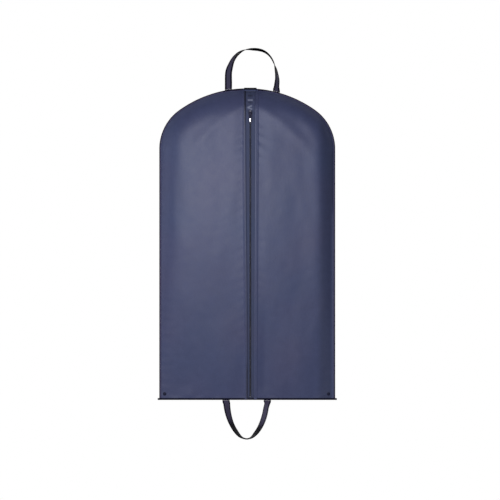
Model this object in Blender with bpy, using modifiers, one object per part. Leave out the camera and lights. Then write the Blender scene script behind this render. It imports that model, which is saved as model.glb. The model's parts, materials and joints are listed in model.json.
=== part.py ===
"""A hanging garment bag, in metres, as separate pieces.

Two cloth panels are bound together round their edge, with a coil zip down the front, a webbing
handle at the top and at the bottom, a slot in the top seam for a hanger's hook and a press stud
in each bottom corner. The bag folds in half across its middle, so its cloth is cut there.

x = 0 is the zip, y = 0 is the plane of the edge seam with the front at -y, and z = 0 is the top seam.
"""

import math

import bmesh
import bpy
from mathutils import Matrix, Vector

# The bag's outline: a shallow arc over the top, round shoulders, straight sides and a straight bottom.
BAG_HEIGHT = 1.077
HALF_WIDTH = 0.304
MIDDLE_X = -0.0105
TOP_RADIUS = 0.405
SHOULDER_RADIUS = 0.165
SHOULDER_X = HALF_WIDTH - SHOULDER_RADIUS
SHOULDER_Z = math.sqrt((TOP_RADIUS - SHOULDER_RADIUS) ** 2 - SHOULDER_X**2) - TOP_RADIUS
SHOULDER_ANGLE = math.atan2(SHOULDER_X, SHOULDER_Z + TOP_RADIUS)
TOP_STEPS = 7
SHOULDER_STEPS = 7
SIDE_STEPS = 4

# The fold across the middle. Its axis lies just behind the back panel.
FOLD_Z = -0.5385
FOLD_GAP = 0.0006
UPPER_END = FOLD_Z + FOLD_GAP / 2
LOWER_START = FOLD_Z - FOLD_GAP / 2
FOLD_AXIS_Y = 0.0138

# Cloth. Both layers lie flat in the edge seam and swell apart inside it.
CLEARANCE = 0.0003
CLOTH = 0.0008
HALF_LAYER_GAP = 0.0005
SEAM_FLAT = 0.007
FRONT_DEPTH = 0.034
FRONT_REACH = 0.084
BACK_DEPTH = 0.012
BACK_REACH = 0.060
CLOTH_EDGE = 0.0018
INSETS = (CLOTH_EDGE, SEAM_FLAT, 0.014, 0.024, 0.038, 0.058, 0.084)
INNER_SHARES = (0.35, 0.7, 1.0)
LOWER_ROWS = 6

# Edge binding: a folded tape round the raw edges of both layers.
BINDING_DEPTH = 0.006
BINDING_WALL = 0.0007
BINDING_HALF_GAP = 0.0016
BOTTOM_BINDING_PAST = 0.0055

# Zip: the stretch that the slider runs on is straight.
ZIP_EDGE_X = 0.017
TAPE_OUTER_X = 0.020
TAPE_INNER_X = 0.0005
TAPE = 0.0006
TAPE_BEHIND = 0.0005
COIL_WIDTH = 0.0030
COIL_HALF_GAP = 0.00015
COIL_BACK = 0.0002
COIL_THICK = 0.0021
COIL_TOP_Z = -0.084
COIL_BOTTOM_Z = -BAG_HEIGHT + 0.0145
TAPE_BOTTOM_Z = -BAG_HEIGHT + 0.0075
SLIDER_Z = -0.0912
ZIP_FLAT_Z = -BAG_HEIGHT + SEAM_FLAT
ZIP_SLOPE = FRONT_DEPTH / (SLIDER_Z - ZIP_FLAT_Z)
ZIP_TILT = math.atan(ZIP_SLOPE)
STOP_HEIGHT = 0.0035
STOP_WIDTH = 0.0064
SMALL_EDGE = 0.0004

# Slider and pull tab, in the slider's own upright frame (front at -y).
SLIDER_LENGTH = 0.0115
SLIDER_WIDTH = 0.0120
PLATE = 0.0013
PLATE_BACK_Y = -0.0023
RAIL_BACK_Y = 0.0002
RAIL_WIDTH = 0.0024
BACK_PLATE_Y = 0.0014
BRIDGE_WIDTH = 0.0030
BRIDGE_HALF_LENGTH = 0.0045
BRIDGE_BAR = 0.0011
BRIDGE_FRONT_Y = -0.0073
TAB_BAR_RADIUS = 0.00085
TAB_BAR_Y = -0.0050
TAB_BAR_Z = -0.0015
TAB_LENGTH = 0.030
TAB_WIDTH = 0.0107
TAB = 0.0013
TAB_CORNER = 0.0035
EYE_WIDTH = 0.0054
EYE_HEIGHT = 0.0090
EYE_CORNER = 0.0010
BAR_INTO_TAB = 0.0005

# Slot for the hanger's hook, in the middle of the top seam.
SLOT_HALF_LENGTH = 0.022
SLOT_HALF_WIDTH = 0.0052
SLOT_WALL = 0.0010
SLOT_TOP_Z = 0.0015
SLOT_BOTTOM_Z = -0.010
SLOT_CUT_Z = -0.0133

# Webbing handles. Each path is half a superellipse standing on the line through its two roots.
STRAP_WIDTH = 0.025
STRAP = 0.0022
STRAP_STEPS = 30
STRAP_AT_ROOT = 0.0008
ROOT_GAP = 0.0016
TOP_HANDLE = {"left": -0.0753, "right": 0.0900, "rise": 0.1452, "power": 2.7}
BOTTOM_HANDLE = {"left": -0.0838, "right": 0.0590, "rise": -0.1330, "power": 1.85}
STRAP_TWIST = math.radians(90)
TWIST_EASE = 1.4
TANGENT_STEP = 0.004
SEWN_END = 0.0004
SEWN_END_DROP = ROOT_GAP + 0.0020
SEWN_END_HEIGHT = 0.012
SQUARE_TO_BAG = Vector((0.0, 1.0, 0.0))

# Press studs in the front cloth.
STUD_X = {"left": -0.296, "right": 0.270}
STUD_Z = -1.056
STUD_RADIUS = 0.0060
STUD_POST_RADIUS = 0.0022
STUD_RISE = 0.0020
STUD_RING = 0.0014
STUD_RING_RADIUS = 0.0051
STUD_SIDES = 20

NAVY = (0.085, 0.100, 0.180, 1.0)
DARK_NAVY = (0.010, 0.011, 0.028, 1.0)
STRAP_NAVY = (0.060, 0.055, 0.095, 1.0)
STEEL = (0.62, 0.62, 0.64, 1.0)
MERGE = 1e-6


# ---------------------------------------------------------------- scene and objects


def clear_scene():
    """Removes every object, so that the script can be run again."""
    for thing in list(bpy.data.objects):
        bpy.data.objects.remove(thing)


def collection(name):
    made = bpy.data.collections.new(name)
    bpy.context.scene.collection.children.link(made)
    return made


def finish_material(name, colour, roughness, metallic=0.0):
    """A Principled material of one colour."""
    material = bpy.data.materials.new(name)
    material.use_nodes = True
    shader = material.node_tree.nodes["Principled BSDF"]
    shader.inputs["Base Color"].default_value = colour
    shader.inputs["Roughness"].default_value = roughness
    shader.inputs["Metallic"].default_value = metallic
    return material


def add_part(name, mesh, finish, where=None):
    """Links a mesh as one named piece of the bag, with a material of its own."""
    mesh.name = name
    mesh.materials.clear()
    mesh.materials.append(finish_material(name + "_finish", *finish))
    part = bpy.data.objects.new(name, mesh)
    PARTS.objects.link(part)
    if where is not None:
        part.matrix_world = where
    return part


def add_cutter(name, mesh, where=None):
    cutter = bpy.data.objects.new(name, mesh)
    CUTTERS.objects.link(cutter)
    cutter.hide_render = True
    cutter.display_type = "WIRE"
    if where is not None:
        cutter.matrix_world = where
    return cutter


def add_axis(name, place, tilt=0.0):
    """An empty on a joint's axis, for the pieces that move with it."""
    empty = bpy.data.objects.new(name, None)
    PARTS.objects.link(empty)
    empty.empty_display_size = 0.03
    empty.location = place
    empty.rotation_euler.x = tilt
    bpy.context.view_layer.update()
    return empty


def hang_on(axis, pieces):
    """Parents pieces to an axis without moving them."""
    for piece in pieces:
        piece.parent = axis
        piece.matrix_parent_inverse = axis.matrix_world.inverted()


def combine(part, other, operation):
    boolean = part.modifiers.new(operation.lower() + "_" + other.name, "BOOLEAN")
    boolean.operation = operation
    boolean.object = other


# ---------------------------------------------------------------- meshes


def mesh_from(work, name):
    mesh = bpy.data.meshes.new(name)
    work.to_mesh(mesh)
    work.free()
    return mesh


def box_mesh(low, high):
    """A box between two corners."""
    work = bmesh.new()
    bmesh.ops.create_cube(work, size=1.0)
    size = Vector(high) - Vector(low)
    middle = (Vector(high) + Vector(low)) / 2
    bmesh.ops.scale(work, vec=size, verts=work.verts)
    bmesh.ops.translate(work, vec=middle, verts=work.verts)
    return mesh_from(work, "box")


def cylinder_mesh(radius, length, turn, sides):
    """A cylinder about the origin, turned by a rotation matrix."""
    work = bmesh.new()
    bmesh.ops.create_cone(
        work, cap_ends=True, segments=sides, radius1=radius, radius2=radius, depth=length
    )
    bmesh.ops.rotate(work, cent=(0, 0, 0), matrix=turn, verts=work.verts)
    return mesh_from(work, "cylinder")


def sheet_mesh(columns, rows, place, facing):
    """An open grid with corner (i, j) at place(i, j), its normals on the facing side in y."""
    work = bmesh.new()
    bmesh.ops.create_grid(work, x_segments=columns, y_segments=rows, size=0.5)
    for corner in work.verts:
        i = round((corner.co.x + 0.5) * columns)
        j = round((corner.co.y + 0.5) * rows)
        corner.co = place(i, j)
    bmesh.ops.remove_doubles(work, verts=work.verts, dist=MERGE)
    work.normal_update()
    if sum(face.normal.y * face.calc_area() for face in work.faces) * facing < 0:
        bmesh.ops.reverse_faces(work, faces=work.faces)
    return mesh_from(work, "sheet")


def flat_mesh(outlines, thickness):
    """A flat piece in the x-y plane from closed outlines, the later ones being holes."""
    curve = bpy.data.curves.new("outline", "CURVE")
    curve.dimensions = "2D"
    curve.fill_mode = "BOTH"
    curve.extrude = thickness / 2
    for outline in outlines:
        spline = curve.splines.new("POLY")
        spline.points.add(len(outline) - 1)
        spline.use_cyclic_u = True
        for point, (x, y) in zip(spline.points, outline):
            point.co = (x, y, 0.0, 1.0)
    holder = bpy.data.objects.new("outline", curve)
    CUTTERS.objects.link(holder)
    graph = bpy.context.evaluated_depsgraph_get()
    mesh = bpy.data.meshes.new_from_object(holder.evaluated_get(graph))
    bpy.data.objects.remove(holder)
    work = bmesh.new()
    work.from_mesh(mesh)
    bmesh.ops.remove_doubles(work, verts=work.verts, dist=MERGE)
    bmesh.ops.recalc_face_normals(work, faces=work.faces)
    work.to_mesh(mesh)
    work.free()
    return mesh


def profile_mesh(points, closed):
    """Edges through points in the x-z plane, for a Screw modifier."""
    mesh = bpy.data.meshes.new("profile")
    edges = [(i, i + 1) for i in range(len(points) - 1)]
    if closed:
        edges.append((len(points) - 1, 0))
    mesh.from_pydata([(x, 0.0, z) for x, z in points], edges, [])
    return mesh


def swept_mesh(sections):
    """A solid through a row of sections that have the same number of corners."""
    work = bmesh.new()
    loops = [[work.verts.new(corner) for corner in section] for section in sections]
    count = len(loops[0])
    for one, other in zip(loops, loops[1:]):
        for k in range(count):
            after = (k + 1) % count
            work.faces.new((one[k], one[after], other[after], other[k]))
    work.faces.new(loops[0])
    work.faces.new(loops[-1])
    bmesh.ops.recalc_face_normals(work, faces=work.faces)
    return mesh_from(work, "swept")


def rounded_rectangle(half_width, low, high, radius, steps=4):
    """A rectangle's outline with round corners, anticlockwise."""
    corners = (
        (half_width - radius, low + radius, -90),
        (half_width - radius, high - radius, 0),
        (radius - half_width, high - radius, 90),
        (radius - half_width, low + radius, 180),
    )
    outline = []
    for x, y, start in corners:
        for step in range(steps + 1):
            angle = math.radians(start + 90 * step / steps)
            outline.append((x + radius * math.cos(angle), y + radius * math.sin(angle)))
    return outline


def break_edges(part):
    """Takes the sharp edges off a small metal piece."""
    edge = part.modifiers.new("edges", "BEVEL")
    edge.width = SMALL_EDGE
    edge.segments = 1


def add_solidify(part, thickness):
    shell = part.modifiers.new("cloth", "SOLIDIFY")
    shell.thickness = thickness
    shell.offset = 1.0


# ---------------------------------------------------------------- the bag's form


def edge_z(x):
    """Height of the top edge over a place on the arc."""
    return math.sqrt(TOP_RADIUS**2 - (x - MIDDLE_X) ** 2) - TOP_RADIUS


def inset_at(x, z):
    """How far inside the top and side edges a point of the seam plane lies."""
    across = abs(x - MIDDLE_X)
    if z <= SHOULDER_Z:
        return HALF_WIDTH - across
    if across * (TOP_RADIUS + SHOULDER_Z) > SHOULDER_X * (z + TOP_RADIUS):
        return SHOULDER_RADIUS - math.hypot(across - SHOULDER_X, z - SHOULDER_Z)
    return TOP_RADIUS - math.hypot(across, z + TOP_RADIUS)


def swell(inset, reach):
    """0 in the flat seam and 1 from reach inwards, on a parabola between them."""
    share = min(max((inset - SEAM_FLAT) / (reach - SEAM_FLAT), 0.0), 1.0)
    return 1.0 - (1.0 - share) ** 2


def front_depth(x, z):
    """How far the front cloth's inner face stands before the seam plane."""
    slack = ZIP_SLOPE * max(z - ZIP_FLAT_Z, 0.0)
    return HALF_LAYER_GAP + slack * swell(inset_at(x, z), FRONT_REACH)


def back_depth(x, z):
    """How far the back cloth's inner face stands behind the seam plane."""
    inset = min(inset_at(x, z), z + BAG_HEIGHT)
    return HALF_LAYER_GAP + BACK_DEPTH * swell(inset, BACK_REACH)


def edge_stations(first_across):
    """The edge from the top down one side to the fold: (across, up, outward angle from straight up)."""
    start = math.asin(first_across / TOP_RADIUS)
    stations = []
    for step in range(TOP_STEPS):
        angle = start + (SHOULDER_ANGLE - start) * step / TOP_STEPS
        stations.append(
            (TOP_RADIUS * math.sin(angle), TOP_RADIUS * (math.cos(angle) - 1), angle)
        )
    for step in range(SHOULDER_STEPS):
        angle = SHOULDER_ANGLE + (math.pi / 2 - SHOULDER_ANGLE) * step / SHOULDER_STEPS
        across = SHOULDER_X + SHOULDER_RADIUS * math.sin(angle)
        stations.append((across, SHOULDER_Z + SHOULDER_RADIUS * math.cos(angle), angle))
    for step in range(SIDE_STEPS + 1):
        up = SHOULDER_Z + (UPPER_END - SHOULDER_Z) * step / SIDE_STEPS
        stations.append((HALF_WIDTH, up, math.pi / 2))
    return stations


def inward_share(reach, level):
    """The share of the way from the edge to the panel's inner corner for one line of the grid."""
    if level < len(INSETS):
        return INSETS[level] / reach
    last = INSETS[-1] / reach
    return last + (1.0 - last) * INNER_SHARES[level - len(INSETS)]


LEVELS = len(INSETS) + len(INNER_SHARES) - 1


def upper_panel_mesh(side, inner_across, depth, facing):
    """One side's cloth above the fold. Its grid lines run from the edge to the inner end of the fold."""
    stations = edge_stations(inner_across)

    def place(i, j):
        across, up, angle = stations[i]
        reach = (across - inner_across) * math.sin(angle) + (up - UPPER_END) * math.cos(angle)
        share = inward_share(reach, j)
        x = side * (across + (inner_across - across) * share)
        z = up + (UPPER_END - up) * share
        return x, facing * depth(MIDDLE_X + x, z), z

    return sheet_mesh(len(stations) - 1, LEVELS, place, facing)


def lower_panel_mesh(side, inner_across, depth, facing):
    """One side's cloth below the fold, a plain rectangle."""
    bottom = -BAG_HEIGHT + CLOTH_EDGE
    heights = [bottom + inset - CLOTH_EDGE for inset in INSETS[:-1]]
    span = LOWER_START - heights[-1]
    heights += [heights[-1] + span * step / LOWER_ROWS for step in range(1, LOWER_ROWS + 1)]

    def place(i, j):
        share = inward_share(HALF_WIDTH - inner_across, i)
        x = side * (HALF_WIDTH + (inner_across - HALF_WIDTH) * share)
        return x, facing * depth(MIDDLE_X + x, heights[j]), heights[j]

    return sheet_mesh(LEVELS, len(heights) - 1, place, facing)


# ---------------------------------------------------------------- panels

SIDES = (("left", -1), ("right", 1))
HALVES = (("upper", upper_panel_mesh), ("lower", lower_panel_mesh))


def add_panels():
    """The front is cut along the zip and the back is whole across."""
    made = {}
    for half, build in HALVES:
        for name, side in SIDES:
            inner = abs(side * ZIP_EDGE_X - MIDDLE_X)
            mesh = build(side, inner, front_depth, -1)
            panel = add_part(f"front_panel_{name}_{half}", mesh, (NAVY, 0.75))
            panel.location.x = MIDDLE_X
            add_solidify(panel, CLOTH)
            made[name, half] = panel
        back = add_part(f"back_panel_{half}", build(1, 0.0, back_depth, 1), (NAVY, 0.75))
        back.location.x = MIDDLE_X
        mirror = back.modifiers.new("other_side", "MIRROR")
        mirror.merge_threshold = 1e-5
        add_solidify(back, CLOTH)
        made["back", half] = back
    return made


def cut_hook_slot(panels):
    """Clears the top seam's middle for the slot's facing."""
    reach_x = SLOT_HALF_LENGTH + CLEARANCE
    low = (-reach_x, -0.02, SLOT_CUT_Z)
    high = (reach_x, 0.02, 0.02)
    cutter = add_cutter("hook_slot_cut", box_mesh(low, high))
    for panel in panels:
        combine(panel, cutter, "DIFFERENCE")


# ---------------------------------------------------------------- zip


def zip_front(z):
    """y of the front cloth's inner face on the zip line."""
    return -front_depth(0.0, z)


def strip_mesh(side, inner, outer, heights, behind):
    """A strip along the zip, on one side of it and some way behind the front cloth's inner face."""
    edges = (side * inner, side * outer)

    def place(i, j):
        x, z = edges[i], heights[j]
        return x, behind - front_depth(x, z), z

    return sheet_mesh(1, len(heights) - 1, place, 1)


def tape_heights(side):
    """The rows of the cloth's zip edge, from under the hook slot down to the fold."""
    across = abs(side * ZIP_EDGE_X - MIDDLE_X)
    angle = math.asin(across / TOP_RADIUS)
    top = TOP_RADIUS * (math.cos(angle) - 1)
    rows = [top - inset / math.cos(angle) for inset in INSETS]
    return [SLOT_CUT_Z] + [z for z in rows if z < SLOT_CUT_Z] + [UPPER_END]


def add_zip_strips():
    """Two tapes under the cloth's edges and the two coils that lock together on them."""
    for name, side in SIDES:
        lower_rows = [LOWER_START, COIL_BOTTOM_Z, TAPE_BOTTOM_Z]
        spans = {"upper": tape_heights(side), "lower": lower_rows}
        for half, heights in spans.items():
            mesh = strip_mesh(side, TAPE_INNER_X, TAPE_OUTER_X, heights, TAPE_BEHIND)
            tape = add_part(f"zip_tape_{name}_{half}", mesh, (DARK_NAVY, 0.85))
            add_solidify(tape, TAPE)
    for name, side in SIDES:
        spans = {"upper": [COIL_TOP_Z, UPPER_END], "lower": [LOWER_START, COIL_BOTTOM_Z]}
        for half, heights in spans.items():
            behind = COIL_BACK - COIL_THICK
            mesh = strip_mesh(side, COIL_HALF_GAP, COIL_WIDTH, heights, behind)
            coil = add_part(f"zip_coil_{name}_{half}", mesh, (DARK_NAVY, 0.4))
            add_solidify(coil, COIL_THICK)


def add_zip_stops():
    """A crimped stop past each end of the coils."""
    half_width = STOP_WIDTH / 2
    spans = {
        "zip_top_stop": COIL_TOP_Z + CLEARANCE,
        "zip_bottom_stop": COIL_BOTTOM_Z - CLEARANCE - STOP_HEIGHT,
    }
    for name, low_z in spans.items():
        front = zip_front(low_z + STOP_HEIGHT / 2)
        low = (-half_width, COIL_BACK - COIL_THICK, -STOP_HEIGHT / 2)
        high = (half_width, COIL_BACK, STOP_HEIGHT / 2)
        where = Matrix.Translation((0, front, low_z + STOP_HEIGHT / 2))
        stop = add_part(name, box_mesh(low, high), (STEEL, 0.35, 1.0), where)
        break_edges(stop)


def bridge_outline():
    """The slider's bridge from the side, as (z, y): two legs on the plate and a bar between them."""
    root = PLATE_BACK_Y - PLATE / 2
    outer, inner = BRIDGE_HALF_LENGTH, BRIDGE_HALF_LENGTH - BRIDGE_BAR
    chamfer = BRIDGE_BAR * 0.8
    front, under = BRIDGE_FRONT_Y, BRIDGE_FRONT_Y + BRIDGE_BAR
    return [
        (-outer, root),
        (-outer, front + chamfer),
        (-outer + chamfer, front),
        (outer - chamfer, front),
        (outer, front + chamfer),
        (outer, root),
        (inner, root),
        (inner, under),
        (-inner, under),
        (-inner, root),
    ]


def add_slider():
    """The slider's front with its bridge, its plate behind the tapes, and the pull tab on the bridge."""
    upright = Matrix.Translation((0, zip_front(SLIDER_Z), SLIDER_Z)) @ Matrix.Rotation(
        ZIP_TILT, 4, "X"
    )
    half_width, half_length = SLIDER_WIDTH / 2, SLIDER_LENGTH / 2
    plate_front = PLATE_BACK_Y - PLATE
    channel = half_width - RAIL_WIDTH
    section = [
        (-half_width, RAIL_BACK_Y),
        (-half_width, plate_front + PLATE / 2),
        (-channel, plate_front),
        (channel, plate_front),
        (half_width, plate_front + PLATE / 2),
        (half_width, RAIL_BACK_Y),
        (channel, RAIL_BACK_Y),
        (channel, PLATE_BACK_Y),
        (-channel, PLATE_BACK_Y),
        (-channel, RAIL_BACK_Y),
    ]
    body_mesh = flat_mesh([section], SLIDER_LENGTH)
    body = add_part("zip_slider_body", body_mesh, (STEEL, 0.25, 1.0), upright)
    bridge_mesh = flat_mesh([bridge_outline()], BRIDGE_WIDTH)
    lengthwise = Matrix(((0, 0, 1, 0), (0, 1, 0, 0), (1, 0, 0, 0), (0, 0, 0, 1)))
    bridge_mesh.transform(lengthwise)
    bridge_mesh.flip_normals()
    combine(body, add_cutter("slider_bridge", bridge_mesh, upright), "UNION")

    back_low = (-half_width, BACK_PLATE_Y, -half_length)
    back_high = (half_width, BACK_PLATE_Y + PLATE, half_length)
    back = add_part("zip_slider_back_plate", box_mesh(back_low, back_high), (STEEL, 0.3, 1.0), upright)
    break_edges(back)

    tab_frame = upright @ Matrix.Translation((0, TAB_BAR_Y, TAB_BAR_Z))
    outer = rounded_rectangle(TAB_WIDTH / 2, -TAB_LENGTH, TAB_BAR_RADIUS, TAB_CORNER)
    eye_low = -TAB_BAR_RADIUS - EYE_HEIGHT
    eye = rounded_rectangle(EYE_WIDTH / 2, eye_low, -TAB_BAR_RADIUS, EYE_CORNER, 2)
    tab_mesh = flat_mesh([outer, eye], TAB)
    tab_mesh.transform(Matrix.Rotation(math.pi / 2, 4, "X"))
    tab = add_part("zip_pull_tab", tab_mesh, (STEEL, 0.2, 1.0), tab_frame)
    bar_length = EYE_WIDTH + 2 * BAR_INTO_TAB
    bar = cylinder_mesh(TAB_BAR_RADIUS, bar_length, Matrix.Rotation(math.pi / 2, 3, "Y"), 10)
    combine(tab, add_cutter("tab_bar", bar, tab_frame), "UNION")

    slide_axis = add_axis("zip_slide_axis", upright.translation, ZIP_TILT)
    pull_axis = add_axis("pull_swing_axis", tab_frame.translation, ZIP_TILT)
    hang_on(slide_axis, [body, back, pull_axis])
    hang_on(pull_axis, [tab])


# ---------------------------------------------------------------- edge binding and hook slot


def binding_section():
    """The folded tape's section as (inset, y): closed round the raw edge, open inwards."""
    outer = BINDING_HALF_GAP + BINDING_WALL
    inner, deep = BINDING_HALF_GAP, BINDING_DEPTH
    corner = BINDING_WALL
    return [
        (deep, -outer),
        (corner, -outer),
        (0.0, -inner),
        (0.0, inner),
        (corner, outer),
        (deep, outer),
        (deep, inner),
        (BINDING_WALL, inner),
        (BINDING_WALL, -inner),
        (deep, -inner),
    ]


def add_bindings():
    """Binding down both sides above and below the fold, and along the bottom over their ends."""
    section = binding_section()
    bottom_top = -BAG_HEIGHT + BINDING_DEPTH
    for name, side in SIDES:
        first = abs(side * (SLOT_HALF_LENGTH + CLEARANCE) - MIDDLE_X)
        upper = []
        for across, up, angle in edge_stations(first):
            sine, cosine = math.sin(angle), math.cos(angle)
            upper.append(
                [
                    (MIDDLE_X + side * (across - inset * sine), y, up - inset * cosine)
                    for inset, y in section
                ]
            )
        add_part(f"edge_binding_{name}_upper", swept_mesh(upper), (DARK_NAVY, 0.7))
        lower = [
            [(MIDDLE_X + side * (HALF_WIDTH - inset), y, z) for inset, y in section]
            for z in (LOWER_START, bottom_top + CLEARANCE)
        ]
        add_part(f"edge_binding_{name}_lower", swept_mesh(lower), (DARK_NAVY, 0.7))
    past = HALF_WIDTH + BOTTOM_BINDING_PAST
    bottom = [
        [(MIDDLE_X + x, y, -BAG_HEIGHT + inset) for inset, y in section] for x in (-past, past)
    ]
    add_part("bottom_binding", swept_mesh(bottom), (DARK_NAVY, 0.7))


def add_slot_facing():
    """A stitched facing round the slot that the hanger's hook comes up through."""
    outer = rounded_rectangle(
        SLOT_HALF_LENGTH, -SLOT_HALF_WIDTH, SLOT_HALF_WIDTH, SLOT_HALF_WIDTH - 0.0002, 5
    )
    hole_width = SLOT_HALF_WIDTH - SLOT_WALL
    hole = rounded_rectangle(
        SLOT_HALF_LENGTH - SLOT_WALL, -hole_width, hole_width, hole_width - 0.0002, 5
    )
    mesh = flat_mesh([outer, hole], SLOT_TOP_Z - SLOT_BOTTOM_Z)
    where = Matrix.Translation((0, 0, (SLOT_TOP_Z + SLOT_BOTTOM_Z) / 2))
    add_part("hook_slot_facing", mesh, (DARK_NAVY, 0.7), where)


# ---------------------------------------------------------------- handles


def handle_root(handle, name):
    """Where a handle leaves the edge, and the edge's own direction there."""
    x = handle[name]
    if handle["rise"] > 0:
        slope = -(x - MIDDLE_X) / (edge_z(x) + TOP_RADIUS)
        along = Vector((1.0, 0.0, slope)).normalized()
        off = Vector((-along.z, 0.0, along.x))
        return Vector((x, 0.0, edge_z(x))) + off * ROOT_GAP, along
    return Vector((x, 0.0, -BAG_HEIGHT - ROOT_GAP)), Vector((1.0, 0.0, 0.0))


def handle_point(handle, share):
    """A point of the strap's middle line, from the left root (0) to the right root (1)."""
    left, right = handle_root(handle, "left")[0], handle_root(handle, "right")[0]
    turn = math.pi * share
    power = 2.0 / handle["power"]
    across = -math.copysign(abs(math.cos(turn)) ** power, math.cos(turn))
    base = left.lerp(right, (1.0 + across) / 2.0)
    return base + Vector((0.0, 0.0, handle["rise"] * abs(math.sin(turn)) ** power))


def handle_sections(handle):
    """The strap lies flat at its roots and turns edge-on to the bag over the far end of the loop."""
    sections = []
    for step in range(STRAP_STEPS + 1):
        share = step / STRAP_STEPS
        middle = handle_point(handle, share)
        before = handle_point(handle, max(share - TANGENT_STEP, 0.0))
        after = handle_point(handle, min(share + TANGENT_STEP, 1.0))
        along = (after - before).normalized()
        in_plane = SQUARE_TO_BAG.cross(along)
        twist = STRAP_TWIST * math.sin(math.pi * share) ** TWIST_EASE
        wide = in_plane * math.cos(twist) - SQUARE_TO_BAG * math.sin(twist)
        if step in (0, STRAP_STEPS):
            edge = handle_root(handle, "left" if step == 0 else "right")[1]
            wide = edge * math.copysign(1.0, edge.dot(in_plane))
        thick = STRAP_AT_ROOT if step in (0, STRAP_STEPS) else STRAP
        w, t = wide * STRAP_WIDTH / 2, along.cross(wide).normalized() * thick / 2
        sections.append([middle - w - t, middle + w - t, middle + w + t, middle - w + t])
    return sections


def add_handle(label, handle):
    """A webbing loop, and its two ends sewn in between the layers."""
    mesh = swept_mesh(handle_sections(handle))
    strap = add_part(f"{label}_handle_strap", mesh, (STRAP_NAVY, 0.8))
    left, right = handle_root(handle, "left")[0], handle_root(handle, "right")[0]
    axis = add_axis(f"{label}_handle_axis", (left + right) / 2)
    hang_on(axis, [strap])
    ends = []
    for name, _ in SIDES:
        root, along = handle_root(handle, name)
        inward = -math.copysign(1.0, handle["rise"])
        down = inward * Vector((-along.z, 0.0, along.x))
        half_wide, half_thick = STRAP_WIDTH / 2, SEWN_END / 2
        corners = ((-1, -1), (1, -1), (1, 1), (-1, 1))
        sections = []
        for reach in (SEWN_END_DROP, SEWN_END_DROP + SEWN_END_HEIGHT):
            centre = root + down * reach
            sections.append(
                [centre + along * half_wide * a + SQUARE_TO_BAG * half_thick * b for a, b in corners]
            )
        ends.append(
            add_part(f"{label}_handle_sewn_end_{name}", swept_mesh(sections), (STRAP_NAVY, 0.8))
        )
    return axis, ends


# ---------------------------------------------------------------- press studs


def add_screw(part):
    screw = part.modifiers.new("turned", "SCREW")
    screw.steps = STUD_SIDES
    screw.render_steps = STUD_SIDES
    screw.use_merge_vertices = True
    screw.merge_threshold = 1e-5


def add_studs(panels):
    """A domed cap with a post through the front cloth, and a ring behind it."""
    forward = Matrix.Rotation(math.pi / 2, 4, "X")
    for name, _ in SIDES:
        x = STUD_X[name]
        inner = front_depth(x, STUD_Z)
        cap_y = -(inner + CLOTH + CLEARANCE)
        post = CLOTH + 2 * CLEARANCE + STUD_RING
        dome = [
            (0.0, STUD_RISE),
            (STUD_RADIUS * 0.45, STUD_RISE * 0.92),
            (STUD_RADIUS * 0.80, STUD_RISE * 0.62),
            (STUD_RADIUS, STUD_RISE * 0.2),
            (STUD_RADIUS, 0.0),
            (STUD_POST_RADIUS, 0.0),
            (STUD_POST_RADIUS, -post),
            (0.0, -post),
        ]
        where = Matrix.Translation((x, cap_y, STUD_Z)) @ forward
        cap = add_part(f"stud_cap_{name}", profile_mesh(dome, False), (DARK_NAVY, 0.3), where)
        add_screw(cap)
        hole = STUD_POST_RADIUS + CLEARANCE
        ring = [
            (STUD_RING_RADIUS, 0.0),
            (STUD_RING_RADIUS, -STUD_RING * 0.7),
            (STUD_RING_RADIUS * 0.82, -STUD_RING),
            (hole, -STUD_RING),
            (hole, 0.0),
        ]
        behind = Matrix.Translation((x, -(inner - CLEARANCE), STUD_Z)) @ forward
        back = add_part(f"stud_ring_{name}", profile_mesh(ring, True), (STEEL, 0.35, 1.0), behind)
        add_screw(back)
        punch = cylinder_mesh(hole, 0.01, Matrix.Rotation(math.pi / 2, 3, "X"), STUD_SIDES)
        place = Matrix.Translation((x, -inner, STUD_Z))
        combine(panels[name, "lower"], add_cutter(f"stud_hole_{name}", punch, place), "DIFFERENCE")


# ---------------------------------------------------------------- the whole bag


def build_bag():
    panels = add_panels()
    cut_hook_slot([panels[key, "upper"] for key in ("left", "right", "back")])
    add_zip_strips()
    add_zip_stops()
    add_slider()
    add_bindings()
    add_slot_facing()
    add_studs(panels)
    add_handle("top", TOP_HANDLE)
    bottom_axis, bottom_ends = add_handle("bottom", BOTTOM_HANDLE)
    fold_axis = add_axis("fold_axis", (0.0, FOLD_AXIS_Y, FOLD_Z))
    lower = [part for part in PARTS.objects if part.name.endswith("_lower")]
    lower += [part for part in PARTS.objects if part.name.startswith(("bottom_binding", "stud_"))]
    lower += [bpy.data.objects["zip_bottom_stop"], bottom_axis, *bottom_ends]
    hang_on(fold_axis, lower)


clear_scene()
PARTS = collection("garment_bag")
CUTTERS = collection("cutters")
build_bag()
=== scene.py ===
"""The looks of a hanging garment bag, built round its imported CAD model.

x = 0 is the zip, y = 0 the plane of the edge seam with the front at -y, and z = 0 the top seam.
"""

import json
import math

import bmesh
import bpy
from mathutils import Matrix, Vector, noise


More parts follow.
